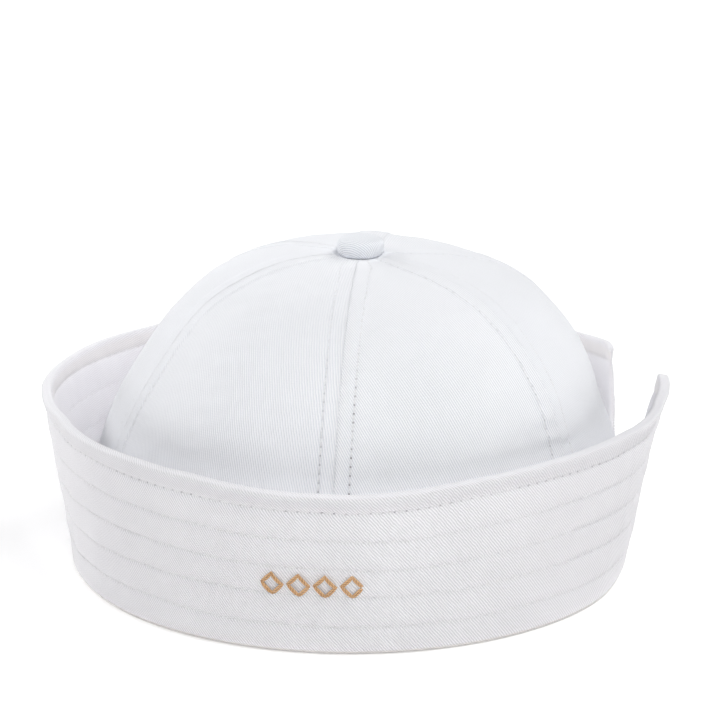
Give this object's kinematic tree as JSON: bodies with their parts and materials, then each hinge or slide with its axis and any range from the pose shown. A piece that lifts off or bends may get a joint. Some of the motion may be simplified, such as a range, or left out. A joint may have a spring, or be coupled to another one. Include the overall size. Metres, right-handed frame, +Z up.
{
  "type": "sailor cap",
  "caption": "White twill sailor cap: domed crown of sewn panels, covered top button, and a stitched brim turned up all round with one slit. Open below for the head.",
  "frame": {"origin": "below the middle of the cap's bounding box, on the surface that it rests on", "axes": "+Z up, from the open base to the top button; -Y faces the front crown seam and the embroidered motif; +X is to the right when looking at that front, the side nearer the brim's slit"},
  "size_m": [0.2228, 0.2238, 0.1172],
  "materials": {
    "crown_twill": "white cotton twill, matt, fine diagonal rib",
    "button_twill": "white cotton twill drawn over a round form",
    "brim_twill": "white cotton twill in several plies, matt, quilted by rows of stitching"
  },
  "bodies": {
    "root": {"crown_panel_1": "crown_twill", "crown_panel_2": "crown_twill", "crown_panel_3": "crown_twill", "crown_panel_4": "crown_twill", "crown_panel_5": "crown_twill", "crown_panel_6": "crown_twill", "top_button": "button_twill", "brim": "brim_twill"}
  },
  "joints": []
}
